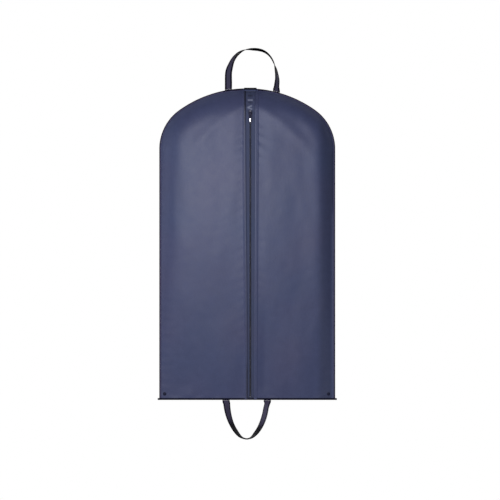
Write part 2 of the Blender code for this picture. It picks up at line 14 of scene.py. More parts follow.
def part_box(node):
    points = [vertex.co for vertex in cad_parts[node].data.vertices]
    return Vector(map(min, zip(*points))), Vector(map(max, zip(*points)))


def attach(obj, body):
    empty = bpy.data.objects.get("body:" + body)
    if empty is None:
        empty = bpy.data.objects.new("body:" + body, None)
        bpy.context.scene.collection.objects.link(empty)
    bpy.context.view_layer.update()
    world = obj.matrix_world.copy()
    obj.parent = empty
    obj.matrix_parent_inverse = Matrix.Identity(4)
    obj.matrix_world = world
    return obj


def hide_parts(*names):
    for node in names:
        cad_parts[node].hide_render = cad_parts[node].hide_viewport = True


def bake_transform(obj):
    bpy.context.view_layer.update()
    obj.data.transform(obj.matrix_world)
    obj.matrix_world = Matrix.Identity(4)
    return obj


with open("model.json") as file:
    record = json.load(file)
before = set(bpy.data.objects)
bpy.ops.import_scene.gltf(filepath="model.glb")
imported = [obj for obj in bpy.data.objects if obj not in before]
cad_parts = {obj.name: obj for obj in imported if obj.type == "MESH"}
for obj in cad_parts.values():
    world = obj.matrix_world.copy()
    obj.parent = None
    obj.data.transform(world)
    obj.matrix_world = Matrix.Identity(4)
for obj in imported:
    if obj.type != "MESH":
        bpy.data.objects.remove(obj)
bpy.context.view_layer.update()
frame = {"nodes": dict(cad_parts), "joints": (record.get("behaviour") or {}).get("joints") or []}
JOINTS = {joint["name"]: joint for joint in frame["joints"]}

# ---------------- measures, from the CAD where it gives them

LEFT_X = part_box("edge_binding_left_lower")[0].x
RIGHT_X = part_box("edge_binding_right_lower")[1].x
BOTTOM_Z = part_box("bottom_binding")[0].z
MIDDLE_X = (LEFT_X + RIGHT_X) / 2
HALF_WIDTH = (RIGHT_X - LEFT_X) / 2
TOP_RADIUS = 0.405
SHOULDER_RADIUS = 0.165
SHOULDER_X = HALF_WIDTH - SHOULDER_RADIUS
SHOULDER_Z = math.sqrt((TOP_RADIUS - SHOULDER_RADIUS) ** 2 - SHOULDER_X**2) - TOP_RADIUS
SHOULDER_ANGLE = math.atan2(SHOULDER_X, SHOULDER_Z + TOP_RADIUS)
TOP_ARC = TOP_RADIUS * SHOULDER_ANGLE
SHOULDER_ARC = SHOULDER_RADIUS * (math.pi / 2 - SHOULDER_ANGLE)
EDGE_LENGTH = TOP_ARC + SHOULDER_ARC + SHOULDER_Z - BOTTOM_Z

CLOTH = 0.0008
HALF_LAYER_GAP = 0.0005
SEAM_FLAT = 0.007
LEFT_REACH = 0.112
RIGHT_REACH = 0.085
BACK_DEPTH = 0.012
BACK_REACH = 0.100
CLOTH_EDGE = 0.0018
BINDING_DEPTH = 0.006

SLIDER_Z = -0.0912
FRONT_DEPTH = 0.034
ZIP_FLAT_Z = BOTTOM_Z + SEAM_FLAT
ZIP_SLOPE = FRONT_DEPTH / (SLIDER_Z - ZIP_FLAT_Z)
COIL_TOP_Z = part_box("zip_coil_left_upper")[1].z
COIL_BOTTOM_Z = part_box("zip_coil_left_lower")[0].z

HEM_AT_TOP = {-1: 0.0158, 1: 0.0162}
HEM_AT_BOTTOM = {-1: 0.0088, 1: 0.0130}
HEM_STITCH = 0.0066

FOLD_Z = JOINTS["fold"]["pos_m"][2]

SIDES = (("left", -1), ("right", 1))


# ---------------- the bag's form


def clamp(value, low=0.0, high=1.0):
    return min(max(value, low), high)


def smooth(value):
    """0 to 1 with level ends."""
    value = clamp(value)
    return value * value * (3.0 - 2.0 * value)


def mix(one, other, share):
    return one + (other - one) * share


def bump(value, centre, width):
    """1 at the centre, falling smoothly to nothing about two widths away."""
    return math.exp(-(((value - centre) / width) ** 2))


def waver(x, z, size, seed):
    """Smooth noise from -1 to 1 over features of about that size."""
    return noise.noise(Vector((x / size, z / size, seed)))


def inset_at(x, z):
    """How far inside the top and side edges a point of the seam plane lies."""
    across = abs(x - MIDDLE_X)
    if z <= SHOULDER_Z:
        return HALF_WIDTH - across
    if across * (TOP_RADIUS + SHOULDER_Z) > SHOULDER_X * (z + TOP_RADIUS):
        return SHOULDER_RADIUS - math.hypot(across - SHOULDER_X, z - SHOULDER_Z)
    return TOP_RADIUS - math.hypot(across, z + TOP_RADIUS)


def along_edge(x, z):
    """Length along the edge from the top's middle to a point's nearest edge, negative on the left."""
    across = abs(x - MIDDLE_X)
    if z <= SHOULDER_Z:
        length = TOP_ARC + SHOULDER_ARC + SHOULDER_Z - z
    elif across * (TOP_RADIUS + SHOULDER_Z) > SHOULDER_X * (z + TOP_RADIUS):
        angle = math.atan2(across - SHOULDER_X, z - SHOULDER_Z)
        length = TOP_ARC + SHOULDER_RADIUS * (angle - SHOULDER_ANGLE)
    else:
        length = TOP_RADIUS * math.atan2(across, z + TOP_RADIUS)
    return math.copysign(length, x - MIDDLE_X)


def edge_at(length):
    """The edge at a length from the top's middle: (across, up, outward angle from straight up)."""
    if length < TOP_ARC:
        angle = length / TOP_RADIUS
        return TOP_RADIUS * math.sin(angle), TOP_RADIUS * (math.cos(angle) - 1.0), angle
    if length < TOP_ARC + SHOULDER_ARC:
        angle = SHOULDER_ANGLE + (length - TOP_ARC) / SHOULDER_RADIUS
        across = SHOULDER_X + SHOULDER_RADIUS * math.sin(angle)
        return across, SHOULDER_Z + SHOULDER_RADIUS * math.cos(angle), angle
    return HALF_WIDTH, SHOULDER_Z - (length - TOP_ARC - SHOULDER_ARC), math.pi / 2


def inside_edge(length, inset):
    """(across, up) of the point an inset inside the edge at a length."""
    across, up, angle = edge_at(length)
    return across - inset * math.sin(angle), up - inset * math.cos(angle)


def past_slot(side, gap):
    """Length along the edge, from the top's middle, to a gap past the hook slot's end."""
    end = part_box("hook_slot_facing")[1].x + gap
    return TOP_RADIUS * math.asin(abs(side * end - MIDDLE_X) / TOP_RADIUS)


def swell(inset, reach):
    """0 in the flat seam, rising without a break to 1 at reach."""
    share = clamp((inset - SEAM_FLAT) / (reach - SEAM_FLAT))
    return 1.0 - (1.0 - share) ** 3


def side_of(x):
    return 1 if x > 0 else -1


def hem_at(side, z):
    """How far from the zip line the folded edge of one side's front cloth lies."""
    return mix(HEM_AT_TOP[side], HEM_AT_BOTTOM[side], smooth((-0.12 - z) / 0.90))


def seam_ripple(x, z, inset, height, width, seed):
    """Short puckers square to the seam, which die out inwards."""
    fade = math.exp(-max(inset - BINDING_DEPTH, 0.0) / width) * smooth((inset - 0.004) / 0.006)
    if fade < 0.01:
        return 0.0
    length = along_edge(x, z) + 0.010 * waver(x, z, 0.060, seed + 3.0)
    beat = 0.55 + 0.45 * waver(length, 0.0, 0.075, seed)
    return height * fade * beat * math.sin(2.0 * math.pi * length / 0.031)


def hanger_ridge(x, z):
    """The line of the hanger's shoulders, which push the front cloth out."""
    across = abs(x)
    line = -0.026 - 0.60 * across - 0.90 * across * across
    below = line - z
    reach = smooth((0.235 - across) / 0.09)
    return 0.0019 * reach * bump(below, 0.022, 0.026)


def lower_folds(x, z):
    """Broad upright folds in the lower part, where the cloth is slack."""
    right = 0.0032 * bump(x, 0.165, 0.055) - 0.0034 * bump(x, 0.040, 0.026)
    left = 0.0022 * bump(x, -0.095, 0.050) - 0.0020 * bump(x, -0.225, 0.035)
    return smooth((-0.74 - z) / 0.24) * (right + left)


def front_wrinkle(x, z):
    """How far the front cloth stands out of its smooth form."""
    inset = inset_at(x, z)
    from_zip = abs(x) - hem_at(side_of(x), z)
    from_bottom = z - BOTTOM_Z
    inside = smooth((inset - 0.012) / 0.05) * smooth((from_bottom - 0.008) / 0.05)
    soft = 0.0022 * waver(x * 2.2, z * 0.8, 0.26, 4.0 + math.copysign(2.0, x))
    soft += 0.0008 * waver(x * 2.0, z * 0.9, 0.09, 9.0) + 0.00022 * waver(x, z, 0.028, 15.0)
    soft += lower_folds(x, z)
    value = soft * inside * smooth((from_zip - 0.004) / 0.04)
    value += seam_ripple(x, z, inset, 0.00080, 0.022, 1.0)
    value += hanger_ridge(x, z)
    zip_fade = math.exp(-max(from_zip - 0.010, 0.0) / 0.016) * smooth((from_zip - 0.006) / 0.006)
    phase = z + 0.5 * from_zip + 0.012 * waver(x, z, 0.08, 21.0)
    strength = 0.25 + 0.75 * bump(z, -0.200, 0.045)
    value += 0.0011 * strength * zip_fade * math.sin(2.0 * math.pi * phase / 0.034)
    bottom_fade = math.exp(-max(from_bottom - 0.010, 0.0) / 0.045) * smooth((from_bottom - 0.006) / 0.012)
    sway = x + 0.03 * waver(x, z, 0.15, 31.0)
    value += 0.0011 * bottom_fade * smooth(inset / 0.03) * math.sin(2.0 * math.pi * sway / 0.083)
    return value


def hem_lift(from_zip):
    """The hem along the zip: a doubled edge with a stitched groove."""
    if from_zip > 0.014:
        return 0.0
    edge = 0.0007 * (1.0 - math.exp(-from_zip / 0.0006)) - 0.0007
    doubled = 0.0016 * (1.0 - smooth((from_zip - 0.0086) / 0.0030))
    groove = 0.0007 * bump(from_zip, HEM_STITCH, 0.0009)
    return edge + doubled - groove


def front_depth(x, z):
    """How far the front cloth's inner face stands before the seam plane."""
    slack = ZIP_SLOPE * max(z - ZIP_FLAT_Z, 0.0)
    reach = mix(LEFT_REACH, RIGHT_REACH, smooth((x - 0.02) / 0.16))
    return HALF_LAYER_GAP + slack * swell(inset_at(x, z), reach)


def back_depth(x, z):
    inset = min(inset_at(x, z), z - BOTTOM_Z)
    return HALF_LAYER_GAP + BACK_DEPTH * swell(inset, BACK_REACH)


def front_surface(x, z):
    """y of the middle of the front cloth."""
    lift = hem_lift(abs(x) - hem_at(side_of(x), z)) + front_wrinkle(x, z)
    return -(front_depth(x, z) + CLOTH / 2 + lift)


def back_surface(x, z):
    """y of the middle of the back cloth, with the crease where the bag has been folded."""
    inset = min(inset_at(x, z), z - BOTTOM_Z)
    inside = smooth((inset - 0.012) / 0.05)
    lift = 0.0008 * waver(x * 1.6, z * 0.8, 0.24, 14.0) * inside
    lift += seam_ripple(x, z, inset, 0.0004, 0.018, 12.0)
    lift -= 0.0007 * inside * bump(z, FOLD_Z, 0.004)
    lift += 0.0003 * inside * waver(x, z * 0.5, 0.05, 17.0)
    return back_depth(x, z) + CLOTH / 2 + min(lift, 0.0012)


# ---------------- objects and meshes


def piece_from(name, work):
    """An object over a built mesh."""
    mesh = bpy.data.meshes.new(name)
    work.to_mesh(mesh)
    work.free()
    piece = bpy.data.objects.new(name, mesh)
    bpy.context.scene.collection.objects.link(piece)
    return piece


def grid_piece(name, rows, closed=False, flip=False):
    """A mesh over rows of points of equal length; closed joins each row's ends."""
    work = bmesh.new()
    lines = [[work.verts.new(point) for point in row] for row in rows]
    count = len(rows[0])
    for low, high in zip(lines, lines[1:]):
        for k in range(count if closed else count - 1):
            after = (k + 1) % count
            corners = (low[k], low[after], high[after], high[k])
            work.faces.new(corners[::-1] if flip else corners)
    if closed:
        work.faces.new(lines[0] if flip else lines[0][::-1])
        work.faces.new(lines[-1][::-1] if flip else lines[-1])
    for face in work.faces:
        face.smooth = True
    return piece_from(name, work)


def turn_outward(piece):
    """Turns a closed piece's faces outward."""
    work = bmesh.new()
    work.from_mesh(piece.data)
    bmesh.ops.recalc_face_normals(work, faces=work.faces)
    work.to_mesh(piece.data)
    work.free()


def settle(piece):
    """Applies a piece's modifiers."""
    graph = bpy.context.evaluated_depsgraph_get()
    mesh = bpy.data.meshes.new_from_object(piece.evaluated_get(graph), depsgraph=graph)
    old = piece.data
    piece.modifiers.clear()
    piece.data = mesh
    bpy.data.meshes.remove(old)
    mesh.name = piece.name


def thicken(piece, thickness):
    """Gives an open sheet its thickness, half on each side of itself."""
    shell = piece.modifiers.new("cloth", "SOLIDIFY")
    shell.thickness = thickness
    shell.offset = 0.0
    settle(piece)


def dress(piece, *materials):
    piece.data.materials.clear()
    for material in materials:
        piece.data.materials.append(material)


def shade(piece, dark_at):
    """Paints shade on a piece's points: how much darker than its cloth each point is, from 0 to 1, or below 0
    how much lighter, a painted highlight.
    """
    layer = piece.data.attributes.new("painted_shade_and_highlight", "FLOAT", "POINT")
    for vertex in piece.data.vertices:
        layer.data[vertex.index].value = dark_at(vertex.co.x, vertex.co.z)


def across_fold(piece):
    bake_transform(piece)


def spaced(total, fine_start, fine_end, step):
    """Shares of the total: the fine places at each end, and even ones between them."""
    middle = total - fine_start[-1] - fine_end[-1]
    count = max(1, round(middle / step))
    places = list(fine_start)
    places += [fine_start[-1] + middle * i / count for i in range(1, count + 1)]
    places += [total - fine for fine in reversed(fine_end[:-1])]
    return [place / total for place in places]


# ---------------- materials


class Nodes:
    """A node tree under construction."""

    def __init__(self, tree):
        self.tree = tree

    def add(self, kind, inputs=(), **settings):
        node = self.tree.nodes.new(kind)
        for key, value in settings.items():
            setattr(node, key, value)
        for key, value in dict(inputs).items():
            self.feed(node.inputs[key], value)
        return node

    def feed(self, socket, value):
        if isinstance(value, bpy.types.NodeSocket):
            self.tree.links.new(value, socket)
        else:
            socket.default_value = value

    def math(self, operation, *values):
        return self.add("ShaderNodeMath", dict(enumerate(values)), operation=operation).outputs[0]

    def noise(self, place, scale, detail=2.0, roughness=0.5):
        inputs = {"Vector": place, "Scale": scale, "Detail": detail, "Roughness": roughness}
        return self.add("ShaderNodeTexNoise", inputs).outputs["Fac"]

    def scaled(self, value, low, high):
        inputs = {"Value": value, "To Min": low, "To Max": high}
        return self.add("ShaderNodeMapRange", inputs).outputs["Result"]

    def scale(self, colour, factor):
        inputs = {0: colour, "Scale": factor}
        return self.add("ShaderNodeVectorMath", inputs, operation="SCALE").outputs["Vector"]

    def mix(self, factor, one, other):
        node = self.add("ShaderNodeMix", {"Factor": factor}, data_type="RGBA")
        self.feed(node.inputs["A"], one)
        self.feed(node.inputs["B"], other)
        return node.outputs["Result"]

    def relief(self, height, strength, distance):
        inputs = {"Height": height, "Strength": strength, "Distance": distance}
        return self.add("ShaderNodeBump", inputs).outputs["Normal"]

    def threads(self, axis_value, pitch):
        """A wave of that pitch in metres along a coordinate."""
        return self.math("SINE", self.math("MULTIPLY", axis_value, 2.0 * math.pi / pitch))


def new_material(name):
    """A material, its nodes, its shader and the place in the object's own space."""
    material = bpy.data.materials.new(name)
    material.use_nodes = True
    tree = material.node_tree
    nodes = Nodes(tree)
    place = nodes.add("ShaderNodeTexCoord").outputs["Object"]
    return material, nodes, tree.nodes["Principled BSDF"], place


def set_shader(nodes, shader, **values):
    """Feeds the shader's inputs, named with underscores for spaces."""
    for name, value in values.items():
        nodes.feed(shader.inputs[name.replace("_", " ")], value)


DYE_SPREAD = 0.11
# The pale blue-grey that painted highlights are mixed toward.
HIGHLIGHT_TINT = (0.30, 0.32, 0.42, 1.0)


def cloth_material(name, colour, roughness, pitch, sheen, bumps, gloss=0.25, along_uv=False, dark_above=None):
    """Woven cloth: threads both ways, uneven dye and a soft sheen, darkened by the painted shade on its
    points and lightened by their painted highlights. It is nearly black above dark_above.
    """
    material, nodes, shader, place = new_material(name)
    if along_uv:
        uv = nodes.add("ShaderNodeUVMap", uv_map="cut").outputs["UV"]
        parts = nodes.add("ShaderNodeSeparateXYZ", {"Vector": uv})
        warp = nodes.threads(parts.outputs["X"], pitch * 1.6)
        weft = nodes.threads(parts.outputs["Y"], pitch)
        weave = nodes.math("ADD", nodes.math("MULTIPLY", warp, 0.35), weft)
    else:
        parts = nodes.add("ShaderNodeSeparateXYZ", {"Vector": place})
        warp = nodes.threads(parts.outputs["X"], pitch)
        weft = nodes.threads(parts.outputs["Z"], pitch)
        weave = nodes.math("MULTIPLY", warp, weft)
    mottle = nodes.noise(place, 45.0, 4.0, 0.6)
    tone = nodes.math("MULTIPLY_ADD", weave, 0.06, 1.0)
    for unevenness, spread in (
        (nodes.noise(place, 3.0), DYE_SPREAD),
        (mottle, DYE_SPREAD),
        (nodes.noise(place, 700.0, 1.0), 0.09),
        (nodes.noise(place, 240.0, 2.0, 0.7), DYE_SPREAD),
    ):
        tone = nodes.math("ADD", tone, nodes.scaled(unevenness, -spread, spread))
    warm = nodes.noise(place, 5.0, 1.0)
    hue = {"X": nodes.scaled(warm, 0.80, 1.22), "Y": 1.0, "Z": nodes.scaled(warm, 1.03, 0.97)}
    hues = nodes.add("ShaderNodeCombineXYZ", hue).outputs[0]
    dyed = nodes.add("ShaderNodeVectorMath", {0: nodes.scale(colour, tone), 1: hues}, operation="MULTIPLY")
    # Painted shade from the points darkens the dyed colour; below 0 it is a painted highlight, mixed toward
    # the pale tint.
    dark = nodes.add("ShaderNodeAttribute", attribute_name="painted_shade_and_highlight").outputs["Fac"]
    if dark_above is not None:
        height = nodes.add("ShaderNodeSeparateXYZ", {"Vector": place}).outputs["Z"]
        dark = nodes.math("MULTIPLY", nodes.math("GREATER_THAN", height, dark_above), 0.92)
    left = nodes.math("MINIMUM", nodes.math("SUBTRACT", 1.0, dark), 1.0)
    highlight_share = nodes.math("MAXIMUM", nodes.math("MULTIPLY", dark, -0.30), 0.0)
    crinkle = nodes.math("MULTIPLY", nodes.noise(place, 160.0, 3.0), 2.2)
    height = nodes.math("ADD", nodes.math("MULTIPLY", weave, 0.35), crinkle)
    set_shader(
        nodes,
        shader,
        Base_Color=nodes.mix(highlight_share, nodes.scale(dyed.outputs["Vector"], left), HIGHLIGHT_TINT),
        Specular_IOR_Level=gloss,
        Specular_Tint=(0.86, 0.87, 1.0, 1.0),
        Roughness=nodes.scaled(mottle, roughness - 0.05, roughness + 0.05),
        Sheen_Weight=sheen,
        Sheen_Roughness=0.45,
        Sheen_Tint=(0.75, 0.80, 1.0, 1.0),
        Normal=nodes.relief(height, bumps, 0.0004),
    )
    return material


def thread_material(name, colour):
    material, nodes, shader, place = new_material(name)
    tone = nodes.scaled(nodes.noise(place, 1800.0, 1.0), 0.7, 1.3)
    set_shader(nodes, shader, Base_Color=nodes.scale(colour, tone), Roughness=0.5, Sheen_Weight=0.2)
    return material


def bright_strip(nodes):
    """1 on a strip down the middle of the lower part of a piece."""
    box = nodes.add("ShaderNodeSeparateXYZ", {"Vector": nodes.add("ShaderNodeTexCoord").outputs["Generated"]})
    across = nodes.math("ABSOLUTE", nodes.math("SUBTRACT", box.outputs["X"], 0.45))
    along = nodes.math("ABSOLUTE", nodes.math("SUBTRACT", box.outputs["Z"], 0.32))
    return nodes.math("MULTIPLY", nodes.math("LESS_THAN", across, 0.18), nodes.math("LESS_THAN", along, 0.19))


def metal_material(name, colour, roughness, brushed, rim=None):
    """Plated metal with fine scratches along the zip. rim is the colour outside a bright strip."""
    material, nodes, shader, place = new_material(name)
    stretch = nodes.add("ShaderNodeMapping", {"Vector": place, "Scale": (1.0, 1.0, 0.06)})
    scratch = nodes.noise(stretch.outputs["Vector"], 2600.0, 3.0)
    smear = nodes.math("MULTIPLY", nodes.noise(place, 240.0), 0.10)
    wear = nodes.math("MULTIPLY_ADD", scratch, brushed, smear)
    plated = tuple(colour) + (1.0,)
    if rim:
        plated = nodes.mix(bright_strip(nodes), tuple(rim) + (1.0,), plated)
    set_shader(
        nodes,
        shader,
        Base_Color=plated,
        Metallic=1.0,
        Roughness=nodes.math("ADD", wear, roughness - 0.05),
        Normal=nodes.relief(scratch, 0.12, 0.0001),
    )
    return material


def lacquer_material(name, colour, roughness, coat=0.3, gloss=0.5):
    """Painted metal or nylon: one colour with small specks."""
    material, nodes, shader, place = new_material(name)
    speck = nodes.noise(place, 900.0)
    set_shader(
        nodes,
        shader,
        Base_Color=nodes.scale(colour, nodes.scaled(speck, 0.8, 1.2)),
        Roughness=nodes.scaled(speck, roughness - 0.06, roughness + 0.06),
        Coat_Weight=coat,
        Specular_IOR_Level=gloss,
    )
    return material


NAVY = (0.032, 0.040, 0.095)
TAPE_NAVY = (0.036, 0.046, 0.098)
DARK_NAVY = (0.0030, 0.0030, 0.011)
# A lighter navy painted along the binding's inner edge as a highlight.
LIP_HIGHLIGHT_NAVY = (0.046, 0.042, 0.092)
STRAP_MIDDLE = (0.040, 0.036, 0.066)
# Near-black of the strap's edges, also the painted shade on its far face.
STRAP_EDGE_AND_SHADE = (0.0026, 0.0018, 0.009)

CLOTH_FINISH = cloth_material("navy_cloth", NAVY, 0.43, 0.0007, 0.03, 0.22, gloss=0.34)
TAPE_FINISH = cloth_material("zip_tape_weave", TAPE_NAVY, 0.65, 0.0006, 0.03, 0.35)
BINDING_FINISH = cloth_material("binding_weave", DARK_NAVY, 0.60, 0.0006, 0.0, 0.35, gloss=0.0, along_uv=True)
LIP_HIGHLIGHT_FINISH = cloth_material("binding_lip_highlight_weave", LIP_HIGHLIGHT_NAVY, 0.60, 0.0006, 0.0, 0.35, gloss=0.05, along_uv=True)
SLOT_FINISH = cloth_material(
    "slot_facing_weave", TAPE_NAVY, 0.60, 0.0006, 0.0, 0.35, gloss=0.08, dark_above=-0.0055
)
STRAP_FINISH = cloth_material("strap_weave", STRAP_MIDDLE, 0.50, 0.0011, 0.0, 0.6, gloss=0.05, along_uv=True)
EDGE_AND_FAR_SHADE_FINISH = cloth_material("strap_edge_and_far_shade_weave", STRAP_EDGE_AND_SHADE, 0.60, 0.0011, 0.0, 0.6, gloss=0.0, along_uv=True)
SEWN_FINISH = cloth_material("sewn_end_weave", STRAP_MIDDLE, 0.60, 0.0011, 0.0, 0.6)
THREAD_FINISH = thread_material("navy_thread", (0.080, 0.085, 0.140))
DARK_THREAD_FINISH = thread_material("dark_thread", (0.007, 0.006, 0.018))
COIL_FINISH = lacquer_material("nylon_coil", (0.010, 0.010, 0.022), 0.38)
STUD_FINISH = lacquer_material("stud_paint", (0.004, 0.005, 0.022), 0.50, coat=0.0, gloss=0.15)
SLIDER_FINISH = metal_material("slider_gunmetal", (0.014, 0.014, 0.024), 0.42, 0.10)
TAB_FINISH = metal_material("tab_plating", (0.62, 0.62, 0.64), 0.34, 0.10, rim=(0.009, 0.009, 0.016))
STEEL_FINISH = metal_material("small_steel", (0.10, 0.10, 0.12), 0.40, 0.16)


# ---------------- panels


def panel_rows(side, inner_at, columns, rows, surface):
    """Rows of points over one side's cloth, between its inner edge and the bag's outline."""
    start = TOP_RADIUS * math.asin(inner_at(0.0) / TOP_RADIUS)
    corner = TOP_ARC + SHOULDER_ARC * 0.5

    def outline(length):
        return Vector(inside_edge(length, CLOTH_EDGE))

    bottom = BOTTOM_Z + CLOTH_EDGE
    outer_end = EDGE_LENGTH - CLOTH_EDGE
    top_start = Vector((inner_at(0.0), outline(start).y))
    corners = (
        Vector((inner_at(bottom), bottom)),
        Vector((HALF_WIDTH - CLOTH_EDGE, bottom)),
        top_start,
        outline(corner),
    )
    made = []
    for v in rows:
        up = mix(bottom, top_start.y, v)
        inner_point = Vector((inner_at(up), up))
        outer_point = outline(mix(outer_end, corner, v))
        row = []
        for u in columns:
            low = corners[0].lerp(corners[1], u)
            high = outline(mix(start, corner, u)) if u > 0 else top_start
            blended = low.lerp(high, v) + inner_point.lerp(outer_point, u)
            blended -= corners[0].lerp(corners[1], u).lerp(corners[2].lerp(corners[3], u), v)
            x = MIDDLE_X + side * blended.x
            row.append(Vector((x, surface(x, blended.y), blended.y)))
        made.append(row)
    return made


def front_shade(x, z):
    """Painted shade along the groove of each hem's turned edge and down the right side, less painted
    highlights on the cloth along the seams.
    """
    side = side_of(x)
    inset = inset_at(x, z)
    from_hem = abs(x) - hem_at(side, z)
    low = smooth((-0.38 - z) / 0.08)
    # Painted shade in the groove beside each hem's folded edge, stronger on the left.
    if side < 0:
        strength = 0.30 + 0.46 * smooth((z + 0.165) / 0.07) + 0.32 * smooth((-0.93 - z) / 0.06)
        line = strength * bump(max(from_hem, 0.0034), 0.0034, 0.0022)
    else:
        strength = 0.03 + 0.30 * smooth((z + 0.10) / 0.05)
        line = strength * bump(max(from_hem, 0.0006), 0.0006, 0.0018)
    # Painted shade down the right side, lifted close to the seam in the lower part.
    right_band = 0.30 * smooth((x - 0.225) / 0.03) * smooth((-0.06 - z) / 0.08)
    right_band *= 1.0 - low * smooth((0.020 - inset) / 0.012)
    dark = 1.0 - (1.0 - min(line, 0.85)) * (1.0 - right_band)
    # Painted highlights along the upper seams and, on the right, just inside the side binding.
    painted_highlight = (0.13 if side < 0 else 0.20) * smooth((z + 0.26) / 0.12) * bump(max(inset, 0.006), 0.006, 0.016)
    if side > 0:
        painted_highlight += 0.26 * low * (1.0 - 0.6 * smooth((-0.86 - z) / 0.10)) * bump(inset, 0.0088, 0.0042)
    return dark - painted_highlight * (1.0 + 0.5 * waver(x, z, 0.035, 71.0)) * smooth((abs(x) - 0.03) / 0.03)


HEM_STEPS = (
    0.0, 0.0005, 0.0011, 0.0019, 0.0028, 0.0038, 0.0048, 0.0056, 0.0063, 0.0070, 0.0078, 0.0088, 0.0100,
    0.0120, 0.0145, 0.0180,
)
FRONT_STEPS = (0.0, 0.0022, 0.0042, 0.0062, 0.0082, 0.0105, 0.0135, 0.0170, 0.0210)
BACK_STEPS = (0.0, 0.0022, 0.0042, 0.0062, 0.0085, 0.0115, 0.0150, 0.0200)


def finish_panel(panel):
    """Dresses a thickened grid in the cloth and puts it in place of the CAD panel's two halves."""
    dress(panel, CLOTH_FINISH)
    across_fold(panel)
    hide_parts(f"{panel.name}_upper", f"{panel.name}_lower")


def make_front_panels():
    for name, side in SIDES:

        def hem_from_middle(z):
            return hem_at(side, z) - side * MIDDLE_X

        columns = spaced(HALF_WIDTH - hem_from_middle(0.0), HEM_STEPS, FRONT_STEPS, 0.0048)
        rows = spaced(-BOTTOM_Z, FRONT_STEPS, FRONT_STEPS, 0.0052)
        points = panel_rows(side, hem_from_middle, columns, rows, front_surface)
        panel = grid_piece(f"front_panel_{name}", points, flip=side < 0)
        thicken(panel, CLOTH)
        shade(panel, front_shade)
        finish_panel(panel)


def make_back_panel():
    columns = spaced(HALF_WIDTH, (0.0,), BACK_STEPS, 0.0062)
    rows = spaced(-BOTTOM_Z, BACK_STEPS, BACK_STEPS, 0.0062)
    left = panel_rows(-1, lambda z: 0.0, columns, rows, back_surface)
    right = panel_rows(1, lambda z: 0.0, columns, rows, back_surface)
    points = [list(reversed(one[1:])) + other for one, other in zip(left, right)]
    panel = grid_piece("back_panel", points, flip=True)
    thicken(panel, CLOTH)
    finish_panel(panel)


# ---------------- edge binding

BINDING_SECTION = (
    (0.0061, 0.00175), (0.0059, 0.00202), (0.0053, 0.00212), (0.0048, 0.00180), (0.0044, 0.00178),
    (0.0039, 0.00212), (0.0030, 0.00220), (0.0020, 0.00216), (0.0011, 0.00185), (0.00055, 0.00130),
    (0.00035, 0.00065),
)
BINDING_WALL = 0.0006
BINDING_STEP = 0.0036
BINDING_SWAY = 0.00022


def slot_swell(x):
    """The top seam is thicker over the hook slot."""
    return 1.0 + 0.30 * smooth((x + 0.066) / 0.012) * smooth((0.052 - x) / 0.012)


def lip(piece, section):
    """Gives the inner edge of the tape the lighter material, a painted highlight, on a narrower strip along
    the top.
    """
    count = len(section)
    for face in piece.data.polygons:
        start = 0.0047 if face.center.z > -0.012 else 0.0029
        if min(section[v % count][0] for v in face.vertices) > start:
            face.material_index = 1


def binding_line():
    """The folded tape's section as (inset, y), from the front's inner edge round to the back's."""
    front = [(inset, -y) for inset, y in BINDING_SECTION]
    back = [(inset, y) for inset, y in reversed(BINDING_SECTION)]
    return front + [(0.0003, 0.0)] + back


def put_uv(piece, across_list, along_list):
    """A cut map in metres: across and along the tape, for the grid that the piece was made on."""
    layer = piece.data.uv_layers.new(name="cut")
    count = len(across_list)
    for loop in piece.data.loops:
        index = loop.vertex_index
        layer.data[loop.index].uv = (across_list[index % count], along_list[index // count])


def lengths_of(points):
    total, made = 0.0, [0.0]
    for one, other in zip(points, points[1:]):
        total += (Vector(other) - Vector(one)).length
        made.append(total)
    return made


def weave_binding(piece, across, along):
    put_uv(piece, across, along)
    dress(piece, BINDING_FINISH, LIP_HIGHLIGHT_FINISH)


def make_edge_binding(name, side, section, across):
    start = past_slot(side, 0.0003)
    stop = EDGE_LENGTH - BINDING_DEPTH - 0.0003
    count = round((stop - start) / BINDING_STEP)
    rows, along = [], []
    for i in range(count + 1):
        length = mix(start, stop, i / count)
        edge_x, edge_z, _ = edge_at(length)
        thick = slot_swell(MIDDLE_X + side * edge_x) if edge_z > -0.02 else 1.0
        pull = 0.00012 * waver(length, side, 0.013, 41.0)
        sway = BINDING_SWAY * waver(length, side, 0.016, 47.0)
        row = []
        for inset, y in section:
            x, z = inside_edge(length, thick * (inset + pull * smooth(inset / 0.003)))
            row.append(Vector((MIDDLE_X + side * x, y * (1.0 + 120 * abs(sway)) + sway * 0.4, z)))
        rows.append(row)
        along.append(length)
    piece = grid_piece(f"edge_binding_{name}", rows, flip=side > 0)
    weave_binding(piece, across, along)
    lip(piece, section)
    thicken(piece, BINDING_WALL)
    across_fold(piece)
    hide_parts(f"edge_binding_{name}_upper", f"edge_binding_{name}_lower")


def make_bottom_binding(section, across):
    low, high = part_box("bottom_binding")
    count = round((high.x - low.x) / BINDING_STEP)
    rows, along = [], []
    for i in range(count + 1):
        x = mix(low.x, high.x, i / count)
        sway = 0.4 * BINDING_SWAY * waver(x, 0.0, 0.016, 53.0)
        past = smooth((LEFT_X + 0.002 - x) / 0.005) + smooth((x - RIGHT_X + 0.002) / 0.005)
        flat = 1.0 - 0.45 * past
        rows.append([Vector((x, y * flat + sway, low.z + inset)) for inset, y in section])
        along.append(x)
    piece = grid_piece("bottom_binding_tape", rows, flip=True)
    weave_binding(piece, across, along)
    thicken(piece, BINDING_WALL)
    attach(piece, "lower_half")
    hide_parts("bottom_binding")


def make_bindings():
    section = binding_line()
    across = lengths_of([(inset, y, 0.0) for inset, y in section])
    for name, side in SIDES:
        make_edge_binding(name, side, section, across)
    make_bottom_binding(section, across)


# ---------------- zip


